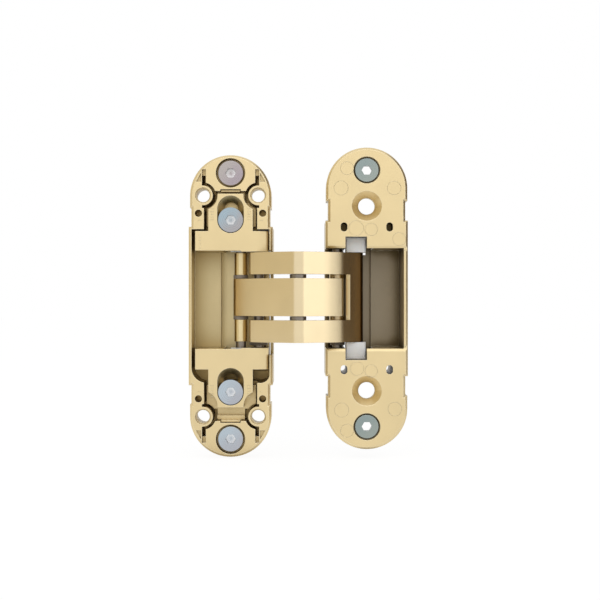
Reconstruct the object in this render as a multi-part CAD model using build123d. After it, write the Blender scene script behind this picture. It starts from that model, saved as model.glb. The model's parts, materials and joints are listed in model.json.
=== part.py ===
from build123d import *
import os
from math import asin, atan2, cos, hypot, sin

# Concealed invisible door hinge, opened flat, in millimetres.
# X runs from the frame half to the door half, Z is up, and the mortises lie towards +Y.
# The front faces of both halves are at Y = 0. The origin is the centre of the frame screw pattern.

# Driving sizes of the linkage, in one half, from the mirror plane (u) and the front face (v)
MIRROR_X = 24.6
FIXED_U, FIXED_V = 14.65, 10.6
SLIDE_U, SLIDE_V = 21.2, 7.7725
CENTRE_V = -3.5
KNEE_U, KNEE_V = 11.2, 0.4
KNEE_BEND_R = 44.0
CENTRE_R, KNEE_R, FIXED_R, SLIDE_R = 4.7, 3.0, 3.1, 2.8
CORNER_R = 1.5
RELIEF_R = 3.75

# Driving sizes of the arms along the pins
ARM_MID_Z = 3.2
ARM_HEIGHT = 32.8
BAND_TALL = 13.7
BAND_GAP = 1.5

# Pins, washers and clearances
PIN_R = 1.9
CENTRE_PIN_R = 2.2
CENTRE_WASHER_R = 3.0
FRAME_WASHER_R = 3.4
DOOR_WASHER_R = 2.75
WASHER_T = 1.25
SLEEVE_R = 2.45
SPACER_R = 2.75
RUN = 0.05
SEAT = 0.01
FACE_GAP = 0.1

# Outline shared by both halves
END_R = 14.8
HALF_LENGTH = 55.0
BODY_DEPTH = 25.0
FLOOR_V = BODY_DEPTH - 4.5
PLATE_V = BODY_DEPTH - 2.0
PLATE_T = 1.0
RIM_EDGE = 0.8
LIP_V = 13.6
LIP_T = 1.3
SKIN_T = 2.8

# Frame half
FRAME_HALF_W = 15.3
FRAME_NECK_W = 14.3
FRAME_BOX_Z = 28.9
FRAME_WALL = 1.1
FRAME_FLOOR_V, FRAME_FLOOR_T = 14.0, 2.2
BACK_LEDGE_T = 1.3
SCREW_X, SCREW_Z = 10.05, HALF_LENGTH - 14.7
FRAME_NECK_Z = SCREW_Z - 4.5
SCREW_HOLE_R, SCREW_MOUTH_R, BOSS_R = 2.35, 2.85, 3.6
BOSS_LAND, BOSS_BACK_R = 4.6, 3.0
GROOVE_R = 4.7
CLIP_X, CLIP_Z, CLIP_R, CLIP_DEPTH = 11.7, SCREW_Z - 6.5, 1.3, 9.0
CHANNEL_W = 9.7
ADJUST_Z = HALF_LENGTH - 6.5
ADJUST_HEAD_R, ADJUST_BORE_R, ADJUST_SINK = 4.75, 5.35, 3.4
BRIDGE_T = 4.4
BRIDGE_Z = SCREW_Z + 1.6
SLIT_IN, SLIT_OUT = 9.0, 10.4

# End blocks and the screws
BLOCK_V0, BLOCK_T = 5.6, 5.0
BLOCK_W, NECK_W = 9.1, 5.1
BLOCK_Z0, BLOCK_Z1 = FRAME_BOX_Z + 0.3, ADJUST_Z + 3.5
DEPTH_TRAVEL = 1.0
END_FLOOR = 2.0
END_CAVITY = BLOCK_V0 + BLOCK_T + DEPTH_TRAVEL + 0.4
FRAME_END_DEPTH = END_CAVITY + END_FLOOR
SHANK_TIP = 0.25
CLAMP_Z, CLAMP_HEAD_R, CLAMP_SHANK_R = SCREW_Z - 8.9, 4.55, 2.4
HEX_R = 1.9

# Carrier
CARRIER_X0, CARRIER_X1 = -12.9, 13.75
CROWN_X, CROWN_FALL = 8.3, 1.3
POCKET_TOP_GAP, POCKET_LOW_GAP = 0.25, 2.1
HEAD_TOP_TALL, HEAD_LOW_TALL = 7.45, 7.8
STEM_W, STEM_END_W = 8.1, 4.75
STEM_T = 5.5
STEM_TOP, STEM_BOTTOM = SCREW_Z + 0.6, 3.4 - SCREW_Z
SLOT_TRAVEL = 4.0
HEIGHT_TRAVEL = 2.6
SLOT_R = 4.82

# Slider blocks and their channels
SLIDER_W, SLIDER_L = 7.4, 6.2
CHANNEL_SIDE = 0.2
CHANNEL_RELIEF = 2.5

# Door half
DOOR_X = 49.65
DOOR_HALF_W = 15.0
DOOR_NECK_W = 14.05
DOOR_BOX_Z = 28.4
DOOR_NECK_Z = HALF_LENGTH - 19.5
DOOR_END_DEPTH = 11.0
DOOR_FLOOR_V = 22.0
DOOR_LAND, DOOR_BACK_R = 5.5, 5.2
DOOR_TOP_GAP, DOOR_LOW_GAP = 1.5, 2.3
DOOR_WALL = 1.5
DOOR_SCREW_Z, DOOR_HOLE_R, DOOR_MOUTH_R = HALF_LENGTH - 21.3, 3.05, 5.5
PLUG_Z, PLUG_R, PLUG_BORE_R = HALF_LENGTH - 8.25, 4.46, 4.9
PLUG_HEX_DEPTH, PLUG_BACK_R = 4.0, 3.2
EDGE_BEVEL = 0.9
DOOR_CLIP_X, DOOR_CLIP_Z = 8.3, 26.0
NOTCH_TALL = 4.2

# Sizes that follow from the ones above
ARM_Z0 = ARM_MID_Z - ARM_HEIGHT / 2
ARM_Z1 = ARM_MID_Z + ARM_HEIGHT / 2
BAND_Z0 = ARM_MID_Z - BAND_TALL / 2
BAND_Z1 = ARM_MID_Z + BAND_TALL / 2
LOW_BAND_Z1 = BAND_Z0 - BAND_GAP
HIGH_BAND_Z0 = BAND_Z1 + BAND_GAP
POCKET_Z0 = ARM_Z0 - POCKET_LOW_GAP
POCKET_Z1 = ARM_Z1 + POCKET_TOP_GAP
HEAD_TOP = POCKET_Z1 + HEAD_TOP_TALL
HEAD_BOTTOM = POCKET_Z0 - HEAD_LOW_TALL
DOOR_Z0 = ARM_Z0 - DOOR_LOW_GAP
DOOR_Z1 = ARM_Z1 + DOOR_TOP_GAP
DOOR_Z = (DOOR_Z0 + DOOR_Z1) / 2
NOTCH_Z = (DOOR_Z1 - DOOR_Z0) / 2 + NOTCH_TALL
FRAME_FIXED_X = MIRROR_X - FIXED_U
DEEP_BOTTOM = POCKET_Z0 - 6.2
FRAME_SLIDE_X = MIRROR_X - SLIDE_U
DOOR_FIXED_X = MIRROR_X + FIXED_U
DOOR_SLIDE_X = MIRROR_X + SLIDE_U
CHANNEL_HALF = SLIDER_W / 2 + CHANNEL_SIDE
DEEP_X = FRAME_SLIDE_X - CHANNEL_HALF - CHANNEL_RELIEF - 0.4
FRAME_FLOOR_X = DEEP_X - 0.9

FRONT = Plane(origin=(0, 0, 0), x_dir=(1, 0, 0), z_dir=(0, -1, 0))


def slab(sketch, y0, y1):
    """Extrude a drawing in X and Z from depth y0 to depth y1."""
    return extrude(FRONT.offset(-y0) * sketch, amount=-(y1 - y0))


def column(sketch, z0, z1):
    """Extrude a drawing in X and Y from height z0 to height z1."""
    return extrude(Plane.XY.offset(z0) * sketch, amount=z1 - z0)


def block(x0, x1, y0, y1, z0, z1):
    """Make a box from its six limits."""
    return Pos((x0 + x1) / 2, (y0 + y1) / 2, (z0 + z1) / 2) * Box(x1 - x0, y1 - y0, z1 - z0)


def rect(x0, x1, z0, z1):
    """Draw a rectangle from its four limits."""
    return Pos((x0 + x1) / 2, (z0 + z1) / 2) * Rectangle(x1 - x0, z1 - z0)


def disc(x, z, r):
    """Draw a circle at a point."""
    return Pos(x, z) * Circle(r)


def rod(x, y, r, z0, z1):
    """Make an upright cylinder between two heights."""
    return Pos(x, y, (z0 + z1) / 2) * Cylinder(r, z1 - z0)


def peg(x, z, r, y0, y1):
    """Make a cylinder along the depth between two depths."""
    return Pos(x, (y0 + y1) / 2, z) * Rot(90, 0, 0) * Cylinder(r, y1 - y0)


def tapered_link(p, rp, q, rq):
    """Draw two circles joined by their outer tangents."""
    length = hypot(q[0] - p[0], q[1] - p[1])
    along = atan2(q[1] - p[1], q[0] - p[0])
    lean = asin((rp - rq) / length)
    points = []
    for centre, radius, sign in ((p, rp, 1), (q, rq, 1), (q, rq, -1), (p, rp, -1)):
        angle = along + sign * (1.5707963267948966 - lean)
        points.append((centre[0] + radius * cos(angle), centre[1] + radius * sin(angle)))
    return disc(*p, rp) + disc(*q, rq) + make_face(Polyline(*points, close=True))


# Arms

def front_slopes():
    """Find the slopes of the two front facets, beside the centre and beyond the knee."""
    inner = atan2(KNEE_V - CENTRE_V, KNEE_U) + asin((CENTRE_R - KNEE_R) / hypot(KNEE_U, KNEE_V - CENTRE_V))
    reach = hypot(SLIDE_U - KNEE_U, SLIDE_V - KNEE_V)
    outer = atan2(SLIDE_V - KNEE_V, SLIDE_U - KNEE_U) + asin((KNEE_R - SLIDE_R) / reach)
    return inner, outer


def bend_knee(shape, side):
    """Replace the small knee in front of an arm by a wide bend between its two facets."""
    inner, outer = front_slopes()
    middle, half = (inner + outer) / 2, (outer - inner) / 2
    tip = (KNEE_U + KNEE_R * sin(middle) / cos(half), KNEE_V - KNEE_R * cos(middle) / cos(half))
    start = (KNEE_U + KNEE_R * sin(inner), KNEE_V - KNEE_R * cos(inner))
    end = (KNEE_U + KNEE_R * sin(outer), KNEE_V - KNEE_R * cos(outer))
    points = [(side * u, v) for u, v in (start, tip, end, (KNEE_U, KNEE_V))]
    shape += make_face(Polyline(*points, close=True))
    knee = shape.vertices().sort_by_distance(Vector(side * tip[0], tip[1], 0))[0]
    return fillet(knee, KNEE_BEND_R)


def corner_centre(u):
    """Find the centre of the outer corner, so that it touches the line of the outer front facet."""
    slope = front_slopes()[1]
    drop = KNEE_R - CORNER_R
    along = (u - KNEE_U - drop * sin(slope)) / cos(slope)
    return u, KNEE_V + along * sin(slope) - drop * cos(slope)


def lug_profile(corner_u):
    """Draw the side of an arm that runs from the centre pin to its fixed pin."""
    fixed = (FIXED_U, FIXED_V)
    knee = (KNEE_U, KNEE_V)
    corner = corner_centre(corner_u - CORNER_R)
    shape = tapered_link((0, CENTRE_V), CENTRE_R, knee, KNEE_R)
    shape += tapered_link(knee, KNEE_R, fixed, FIXED_R)
    shape += tapered_link(knee, KNEE_R, corner, CORNER_R)
    shape += tapered_link(corner, CORNER_R, fixed, FIXED_R)
    shape += make_face(Polyline(knee, corner, fixed, close=True))
    return bend_knee(shape, 1)


def reach_profile():
    """Draw the side of an arm that runs from the centre pin to its slider pin."""
    knee = (-KNEE_U, KNEE_V)
    shape = tapered_link((0, CENTRE_V), CENTRE_R, knee, KNEE_R)
    shape += tapered_link(knee, KNEE_R, (-SLIDE_U, SLIDE_V), SLIDE_R)
    return bend_knee(shape, -1) - disc(-FIXED_U, FIXED_V, RELIEF_R)


def window_cut():
    """Draw the part of the reach side that the other arm's band passes through."""
    edge_u, deep_v = 17.6, 3.2
    slope = 1.5 / 0.6
    outer = -(edge_u + slope * (deep_v + 20))
    points = [(30, -20), (outer, -20), (-edge_u, deep_v), (-edge_u, 30), (30, 30)]
    return make_face(Polyline(*points, close=True))


def arm_holes(z0, z1):
    """Make the three pin bores of an arm."""
    bores = rod(0, CENTRE_V, CENTRE_PIN_R + RUN, z0, z1)
    bores += rod(FIXED_U, FIXED_V, PIN_R + RUN, z0, z1)
    return bores + rod(-SLIDE_U, SLIDE_V, PIN_R + SEAT, z0, z1)


def make_outer_arm():
    """Make the forked arm with two bands, two lugs and a full height web."""
    profile = lug_profile(17.9) + reach_profile()
    arm = column(profile, ARM_Z0, ARM_Z1) - column(window_cut(), LOW_BAND_Z1, HIGH_BAND_Z0)
    arm -= arm_holes(ARM_Z0 - 1, ARM_Z1 + 1)
    return Pos(MIRROR_X, 0, 0) * mirror(arm, about=Plane.YZ)


def make_inner_arm():
    """Make the single band arm with a full height barrel at its fixed pin."""
    arm = column(lug_profile(16.5) + reach_profile(), BAND_Z0, BAND_Z1)
    arm += rod(FIXED_U, FIXED_V, FIXED_R, ARM_Z0, ARM_Z1)
    arm -= arm_holes(ARM_Z0 - 1, ARM_Z1 + 1)
    return Pos(MIRROR_X, 0, 0) * arm


# Pins, washers and sleeves

def ring(x, y, r_out, r_in, z0, z1):
    """Make an upright ring."""
    return rod(x, y, r_out, z0, z1) - rod(x, y, r_in, z0 - 1, z1 + 1)


def export_pins():
    """Make the pins with the washers and sleeves that turn on them."""
    centre_pin = rod(MIRROR_X, CENTRE_V, CENTRE_PIN_R, ARM_Z0 + 0.2, ARM_Z1 - 0.2)
    export_step(centre_pin, "parts/centre_pin.step")
    spacing = ((HIGH_BAND_Z0, BAND_Z1, "upper"), (BAND_Z0, LOW_BAND_Z1, "lower"))
    for top, bottom, name in spacing:
        washer = ring(MIRROR_X, CENTRE_V, CENTRE_WASHER_R, CENTRE_PIN_R + RUN,
                      bottom + FACE_GAP, top - FACE_GAP)
        export_step(washer, f"parts/{name}_centre_washer.step")

    frame_pin = rod(FRAME_FIXED_X, FIXED_V, PIN_R, POCKET_Z0 - 3.5, POCKET_Z1 + 3.5)
    export_step(frame_pin, "parts/frame_pivot_pin.step")
    door_pin = rod(DOOR_FIXED_X, FIXED_V, PIN_R, DOOR_Z0 - 3.5, DOOR_Z1 + 3.5)
    export_step(door_pin, "parts/door_pivot_pin.step")
    for x, radius, name in ((FRAME_FIXED_X, FRAME_WASHER_R, "frame"), (DOOR_FIXED_X, DOOR_WASHER_R, "door")):
        washer = ring(x, FIXED_V, radius, PIN_R + RUN, ARM_Z0 - FACE_GAP - WASHER_T,
                      ARM_Z0 - FACE_GAP)
        export_step(washer, f"parts/{name}_pivot_washer.step")

    frame_slide = rod(FRAME_SLIDE_X, SLIDE_V, PIN_R, POCKET_Z0 - 4.4, POCKET_Z1 + 4.4)
    export_step(frame_slide, "parts/frame_slider_pin.step")
    door_slide = rod(DOOR_SLIDE_X, SLIDE_V, PIN_R, DOOR_Z0 - 3.4, DOOR_Z1 + 3.2)
    export_step(door_slide, "parts/door_slider_pin.step")
    high = BAND_Z1 + FACE_GAP
    low = BAND_Z0 - FACE_GAP
    inner = PIN_R + SEAT
    stack = (("upper_spacer_washer", SPACER_R, high, high + WASHER_T - 0.05),
             ("upper_spacer_sleeve", SLEEVE_R, high + WASHER_T, ARM_Z1 - 0.1),
             ("lower_spacer_washer", SPACER_R, low - WASHER_T + 0.05, low),
             ("lower_spacer_sleeve", SLEEVE_R, ARM_Z0 + 0.1, low - WASHER_T))
    for name, radius, z0, z1 in stack:
        piece = ring(FRAME_SLIDE_X, SLIDE_V, radius, inner, z0, z1)
        export_step(piece, f"parts/{name}.step")


# Slider blocks

def make_slider(x, z0, z1):
    """Make a nylon block that turns on the slider pin."""
    piece = block(x - SLIDER_W / 2, x + SLIDER_W / 2, SLIDE_V - SLIDER_L / 2,
                  SLIDE_V + SLIDER_L / 2, z0, z1)
    piece = chamfer(piece.edges().filter_by(Axis.Z), 0.4)
    return piece - rod(x, SLIDE_V, PIN_R + RUN, z0 - 1, z1 + 1)


def export_sliders():
    """Make the four slider blocks."""
    gap = 0.15
    spans = (("upper_frame_slider", FRAME_SLIDE_X, POCKET_Z1 + gap, POCKET_Z1 + 5.0),
             ("lower_frame_slider", FRAME_SLIDE_X, POCKET_Z0 - 5.0, POCKET_Z0 - gap),
             ("upper_door_slider", DOOR_SLIDE_X, ARM_Z1 + gap, DOOR_Z + NOTCH_Z - 0.4),
             ("lower_door_slider", DOOR_SLIDE_X, DOOR_Z - NOTCH_Z + 0.4, ARM_Z0 - gap))
    for name, x, z0, z1 in spans:
        export_step(make_slider(x, z0, z1), f"parts/{name}.step")


def slider_channel(x, outward, z0, z1):
    """Make the cut in which a slider block travels, with a relief on its outer side."""
    far = x + outward * (CHANNEL_HALF + CHANNEL_RELIEF)
    near = x - outward * CHANNEL_HALF
    return block(min(near, far), max(near, far), SKIN_T, PLATE_V, z0, z1)


# Screws

def hex_socket(x, z, r, y0, y1):
    """Make a hexagonal cut along the depth."""
    return slab(Pos(x, z) * RegularPolygon(r, 6), y0, y1)


def make_adjusting_screw(sign):
    """Make an outer screw with a flat head and a collar behind the bridge."""
    z = sign * ADJUST_Z
    top = 0.35
    screw = peg(0, z, ADJUST_HEAD_R, top, ADJUST_SINK - 0.1)
    screw = chamfer(screw.edges().group_by(Axis.Y)[0], 0.3)
    screw += peg(0, z, 2.45, ADJUST_SINK - 0.2, BLOCK_V0 + BLOCK_T + SHANK_TIP)
    return screw - hex_socket(0, z, HEX_R, top - 1, top + 2.2)


def make_clamp_screw(sign):
    """Make a countersunk screw that clamps the carrier's stem to its end block."""
    z = sign * CLAMP_Z
    top = 0.1
    screw = peg(0, z, CLAMP_HEAD_R, top, top + 0.6)
    cone = Pos(0, top + 0.6 + 1.075, z) * Rot(90, 0, 0) * Cone(CLAMP_SHANK_R, CLAMP_HEAD_R, 2.15)
    screw += cone
    screw += peg(0, z, CLAMP_SHANK_R, top + 2.6, BLOCK_V0 + BLOCK_T + SHANK_TIP)
    return screw - hex_socket(0, z, HEX_R, top - 1, top + 2.0)


def make_plug(sign):
    """Make a hollow hexagonal adjuster plug of the door half."""
    z = DOOR_Z + sign * PLUG_Z
    plug = peg(DOOR_X, z, PLUG_R, 0.2, DOOR_END_DEPTH - 1.0)
    plug = chamfer(plug.edges().group_by(Axis.Y)[0], 0.25)
    plug -= peg(DOOR_X, z, PLUG_BACK_R, PLUG_HEX_DEPTH, DOOR_END_DEPTH)
    return plug - hex_socket(DOOR_X, z, HEX_R, -1, PLUG_HEX_DEPTH + 1)


# Frame half

def capsule_outline(half_w, box_z, neck_w, neck_z):
    """Draw the outline of a housing: round ends, narrower necks and a wide middle."""
    ends = disc(0, HALF_LENGTH - END_R, END_R) + disc(0, END_R - HALF_LENGTH, END_R)
    low = min(neck_z, HALF_LENGTH - END_R)
    for sign in (1, -1):
        ends += rect(-END_R, END_R, *sorted((sign * low, sign * (HALF_LENGTH - END_R))))
        ends -= rect(-END_R - 1, END_R + 1, *sorted((0, sign * neck_z)))
    middle = rect(-neck_w, neck_w, -neck_z, neck_z) + rect(-half_w, half_w, -box_z, box_z)
    return ends + middle


def boss_groove(sign_x):
    """Draw the groove that separates a screw boss from the bridge and the stem."""
    x = sign_x * SCREW_X
    groove = disc(x, SCREW_Z, GROOVE_R) - disc(x, SCREW_Z, BOSS_R)
    keep = rect(*sorted((0, sign_x * SLIT_OUT)), FRAME_NECK_Z - 0.1, SCREW_Z + GROOVE_R + 0.2)
    return groove & keep


def end_opening():
    """Draw the front opening of the upper end of the frame housing."""
    shape = rect(-CHANNEL_W, CHANNEL_W, FRAME_BOX_Z - 2, BRIDGE_Z)
    shape -= disc(SCREW_X, SCREW_Z, BOSS_R) + disc(-SCREW_X, SCREW_Z, BOSS_R)
    for sign in (1, -1):
        shape += boss_groove(sign)
        shape += rect(*sorted((sign * SLIT_IN, sign * SLIT_OUT)), SCREW_Z + BOSS_R, SCREW_Z + 7.3)
        shape -= rect(*sorted((sign * SLIT_OUT, sign * 20)), FRAME_BOX_Z - 3, SCREW_Z + 8)
    return shape + rect(-3.7, 3.7, BRIDGE_Z - 0.1, BRIDGE_Z + 0.65)


def soften_rim(body):
    """Bevel the outer edge of a housing's front face."""
    return chamfer(body.faces().sort_by(Axis.Y)[0].outer_wire().edges(), RIM_EDGE)


def cut_frame_end(body):
    """Open the upper end of the frame housing for its end block and screws."""
    floor_y = END_CAVITY
    body -= slab(end_opening(), -1, floor_y)
    body -= slab(rect(-5.6, 5.6, BRIDGE_Z - 1, BLOCK_Z1 + 0.5), BRIDGE_T, floor_y)
    body -= peg(0, ADJUST_Z, ADJUST_BORE_R, -1, ADJUST_SINK)
    body -= peg(0, ADJUST_Z, 2.6, 0, floor_y)
    for sign in (1, -1):
        slit = rect(*sorted((sign * SLIT_IN, sign * SLIT_OUT)), SCREW_Z + 7.2, SCREW_Z + 9.5)
        body -= slab(slit, -1, 1.6)
        body -= peg(sign * SCREW_X, SCREW_Z, SCREW_HOLE_R, -1, FRAME_END_DEPTH + 1)
        body -= peg(sign * SCREW_X, SCREW_Z, SCREW_MOUTH_R, -1, 1.4)
        body -= peg(sign * SCREW_X, SCREW_Z, BOSS_BACK_R, BOSS_LAND, FRAME_END_DEPTH + 1)
        body -= peg(sign * CLIP_X, CLIP_Z, CLIP_R, -1, CLIP_DEPTH)
        corner = make_face(Polyline((sign * 10.75, SCREW_Z + 5.0), (sign * 12.6, SCREW_Z + 5.0),
                                    (sign * 10.75, SCREW_Z + 8.3), close=True))
        body -= slab(corner, -1, 0.8)
    return body


def make_frame_housing():
    """Make the cast shell that is screwed into the door frame."""
    outline = capsule_outline(FRAME_HALF_W, FRAME_BOX_Z, FRAME_NECK_W, FRAME_NECK_Z)
    middle = outline & rect(-20, 20, -FRAME_BOX_Z, FRAME_BOX_Z)
    body = soften_rim(slab(outline, 0, FRAME_END_DEPTH) + slab(middle, 0, BODY_DEPTH))
    inner, top = FRAME_HALF_W - FRAME_WALL, FRAME_BOX_Z - 0.9
    pocket = rect(-inner, inner, -top, top)
    low_left, low_right = pocket.vertices().group_by(Axis.Y)[0].sort_by(Axis.X)
    pocket = fillet(low_left, 5.5)
    low_right = pocket.vertices().group_by(Axis.Y)[0].sort_by(Axis.X)[-1]
    pocket = fillet(low_right, 3.2)
    body -= slab(pocket, -1, FRAME_FLOOR_V)
    body -= slab(pocket & rect(FRAME_FLOOR_X, inner, -top, top), 0, FLOOR_V)
    low = DEEP_BOTTOM - HEIGHT_TRAVEL - 0.5
    body -= block(FRAME_FLOOR_X, inner, FLOOR_V - 1, BODY_DEPTH + 1, low, top)
    body -= block(FRAME_FLOOR_X, inner, FLOOR_V + BACK_LEDGE_T, BODY_DEPTH + 1, -top, low + 1)
    recess = block(1 - inner, FRAME_FLOOR_X + 1, FRAME_FLOOR_V + FRAME_FLOOR_T, BODY_DEPTH + 1, 2 - top, top - 2)
    body -= recess - block(-inner, FRAME_FLOOR_X - 3, 0, BODY_DEPTH + 2, -1.5, 1.5)
    body -= block(0, FRAME_HALF_W + 1, -1, LIP_V, POCKET_Z0 - HEIGHT_TRAVEL, POCKET_Z1 + 0.4)
    body = cut_frame_end(body)
    lower = mirror(cut_frame_end(mirror(body, about=Plane.XY)), about=Plane.XY)
    return lower


def make_end_block(sign):
    """Make the block under the carrier's stem that the outer screw moves in depth."""
    shape = rect(-BLOCK_W, BLOCK_W, BLOCK_Z0, SCREW_Z - 2.4)
    shape += rect(-NECK_W, NECK_W, SCREW_Z - 4.3, BLOCK_Z1)
    shape -= disc(SCREW_X, SCREW_Z, GROOVE_R - 0.3) + disc(-SCREW_X, SCREW_Z, GROOVE_R - 0.3)
    piece = slab(shape, BLOCK_V0, BLOCK_V0 + BLOCK_T)
    piece += block(-3.5, 3.5, 1.2, BLOCK_V0 + 0.5, BRIDGE_Z - 0.25, BRIDGE_Z + 0.45)
    piece -= peg(0, ADJUST_Z, 2.45 + RUN, BLOCK_V0 - 1, BLOCK_V0 + BLOCK_T + 1)
    piece -= peg(0, CLAMP_Z, CLAMP_SHANK_R + RUN, BLOCK_V0 - 1, BLOCK_V0 + BLOCK_T + 1)
    if sign > 0:
        return piece
    piece += block(-NECK_W, NECK_W, BLOCK_V0 - 2, BLOCK_V0 + 0.5, BRIDGE_Z - 1.8, BRIDGE_Z - 0.25)
    return mirror(piece, about=Plane.XY)


# Carrier

def stem_outline(z_head, z_end, z_boss):
    """Draw a stem of the carrier, narrowed by arcs round the two screw bosses."""
    shape = rect(-STEM_W, STEM_W, *sorted((z_head, z_end)))
    sign = 1 if z_end > z_head else -1
    narrow = sorted((z_boss - sign * 0.4, z_end + sign))
    shape -= rect(STEM_END_W, STEM_W + 1, *narrow) + rect(-STEM_W - 1, -STEM_END_W, *narrow)
    for side in (1, -1):
        shape -= disc(side * SCREW_X, z_boss, GROOVE_R + 0.6)
    return shape


def clamp_slot(z_screw, z_other):
    """Make the countersunk slot in which the clamp screw sits."""
    length = abs(z_other - z_screw)
    middle = (z_screw + z_other) / 2

    def slot(r):
        return Pos(0, middle) * Rot(0, 0, 90) * SlotCenterToCenter(length, 2 * r)

    cut = slab(slot(SLOT_R), -1, 0.8)
    cut += loft([FRONT.offset(-0.8) * slot(SLOT_R), FRONT.offset(-2.97) * slot(CLAMP_SHANK_R + 0.25)])
    return cut + slab(slot(CLAMP_SHANK_R + 0.25), 2.9, STEM_T + 1)


def crowned_outline():
    """Draw a head's outline, whose front falls away in a shallow arc at the mouth side."""
    start, end = (CROWN_X, 0), (CARRIER_X1, CROWN_FALL)
    front = Line((CARRIER_X0, 0), start)
    crown = TangentArc(start, end, tangent=(1, 0))
    rest = Polyline(end, (CARRIER_X1, BODY_DEPTH), (CARRIER_X0, BODY_DEPTH), (CARRIER_X0, 0))
    return make_face(front + crown + rest)


def make_head(z_pocket, z_outer):
    """Make one head of the carrier, with its pin hole and slider channel."""
    z0, z1 = sorted((z_pocket, z_outer))
    sign = 1 if z_outer > z_pocket else -1
    head = block(CARRIER_X0, CARRIER_X1, 0, FRAME_FLOOR_V - DEPTH_TRAVEL - 0.4, z0, z1)
    head += block(DEEP_X, CARRIER_X1, 0, PLATE_V + PLATE_T, max(z0, DEEP_BOTTOM), z1)
    head &= column(crowned_outline(), z0, z1)
    head -= slider_channel(FRAME_SLIDE_X, -1, *sorted((z_pocket - sign, z_pocket + sign * 5.3)))
    step = FRAME_SLIDE_X + 0.5
    head -= block(CARRIER_X0 - 1, step, -1, 30, *sorted((z_pocket - sign, z_pocket + sign * 0.35)))
    return head - rod(FRAME_FIXED_X, FIXED_V, PIN_R + SEAT, *sorted((z_pocket - sign, z_pocket + sign * 3.6)))


def make_carrier():
    """Make the height adjustable carrier that holds the frame side pins."""
    body = make_head(POCKET_Z1, HEAD_TOP) + make_head(POCKET_Z0, HEAD_BOTTOM)
    back = PLATE_V + PLATE_T
    body += block(DEEP_X - 2, CARRIER_X1, PLATE_V, back, POCKET_Z0 - 1, POCKET_Z1 + 1)
    body += block(DEEP_X, CARRIER_X1, PLATE_V, back, DEEP_BOTTOM - 3.5, POCKET_Z0)
    body += block(CARRIER_X1 - LIP_T, CARRIER_X1, LIP_V, PLATE_V + 0.5, POCKET_Z0 - 1, POCKET_Z1 + 1)
    body += slab(stem_outline(HEAD_TOP - 0.5, STEM_TOP, SCREW_Z), 0, STEM_T)
    body += slab(stem_outline(HEAD_BOTTOM + 0.5, STEM_BOTTOM, SLOT_TRAVEL - SCREW_Z), 0, STEM_T)
    body -= clamp_slot(CLAMP_Z, CLAMP_Z + SLOT_TRAVEL)
    return body - clamp_slot(-CLAMP_Z, -CLAMP_Z + SLOT_TRAVEL)


# Door half

def cut_door_end(body, clip_depth):
    """Drill and recess the upper end of the door housing, drawn about its own centre."""
    depth = DOOR_END_DEPTH
    body -= peg(0, DOOR_SCREW_Z, DOOR_HOLE_R, -1, depth + 1)
    sink = DOOR_MOUTH_R - DOOR_HOLE_R
    body -= Pos(0, sink / 2, DOOR_SCREW_Z) * Rot(90, 0, 0) * Cone(DOOR_HOLE_R, DOOR_MOUTH_R, sink)
    body -= peg(0, DOOR_SCREW_Z, DOOR_BACK_R, DOOR_LAND, depth + 1)
    body -= peg(0, PLUG_Z, PLUG_BORE_R, -1, 0.9)
    body -= peg(0, PLUG_Z, PLUG_R + RUN, -1, depth + 1)
    for sign in (1, -1):
        oval = Pos(sign * DOOR_CLIP_X, DOOR_CLIP_Z) * Rot(0, 0, 90) * SlotOverall(3.3, 2.4)
        body -= slab(oval, -1, clip_depth)
    return body


def make_door_housing():
    """Make the cast shell that is screwed into the door's edge."""
    outline = capsule_outline(DOOR_HALF_W, DOOR_BOX_Z, DOOR_NECK_W, DOOR_NECK_Z)
    middle = outline & rect(-20, 20, -DOOR_BOX_Z, DOOR_BOX_Z)
    body = soften_rim(slab(outline, 0, DOOR_END_DEPTH) + slab(middle, 0, BODY_DEPTH))
    body = cut_door_end(body, CLIP_DEPTH)
    body = mirror(cut_door_end(mirror(body, about=Plane.XY), BODY_DEPTH + 1), about=Plane.XY)
    body = Pos(DOOR_X, 0, DOOR_Z) * body
    left, right = DOOR_X - DOOR_HALF_W, DOOR_X + DOOR_HALF_W - DOOR_WALL
    floor_x = DOOR_SLIDE_X + CHANNEL_HALF + CHANNEL_RELIEF
    body -= block(left - 1, floor_x, -1, LIP_V, DOOR_Z0, DOOR_Z1)
    body -= block(left + LIP_T, floor_x, LIP_V - 1, PLATE_V, DOOR_Z0, DOOR_Z1)
    body -= block(floor_x - 1, right, -1, DOOR_FLOOR_V, DOOR_Z0, DOOR_Z1)
    for sign, z_pocket in ((1, DOOR_Z1), (-1, DOOR_Z0)):
        z_end = DOOR_Z + sign * NOTCH_Z
        body -= slider_channel(DOOR_SLIDE_X, 1, *sorted((z_pocket - sign, z_end)))
        near, far = DOOR_SLIDE_X - CHANNEL_HALF, DOOR_SLIDE_X + CHANNEL_HALF
        body -= block(near, far, -1, SKIN_T + 1, *sorted((z_pocket - sign, z_end)))
        body -= block(near, far + 0.7, PLATE_V - 1, BODY_DEPTH + 1, *sorted((z_pocket - sign * 1.7, z_end)))
        bevel = make_face(Polyline((-1, z_pocket - sign), (EDGE_BEVEL / 2, z_pocket - sign),
                                   (EDGE_BEVEL / 2, z_pocket), (-1, z_pocket + sign * EDGE_BEVEL * 3.2),
                                   close=True))
        side = Plane(origin=(left - 1, 0, 0), x_dir=(0, 1, 0), z_dir=(1, 0, 0))
        body -= extrude(side * bevel, amount=2 * DOOR_HALF_W + 2)
        body -= rod(DOOR_FIXED_X, FIXED_V, PIN_R + SEAT, *sorted((z_pocket - sign, z_pocket + sign * 3.6)))
    return body


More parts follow.
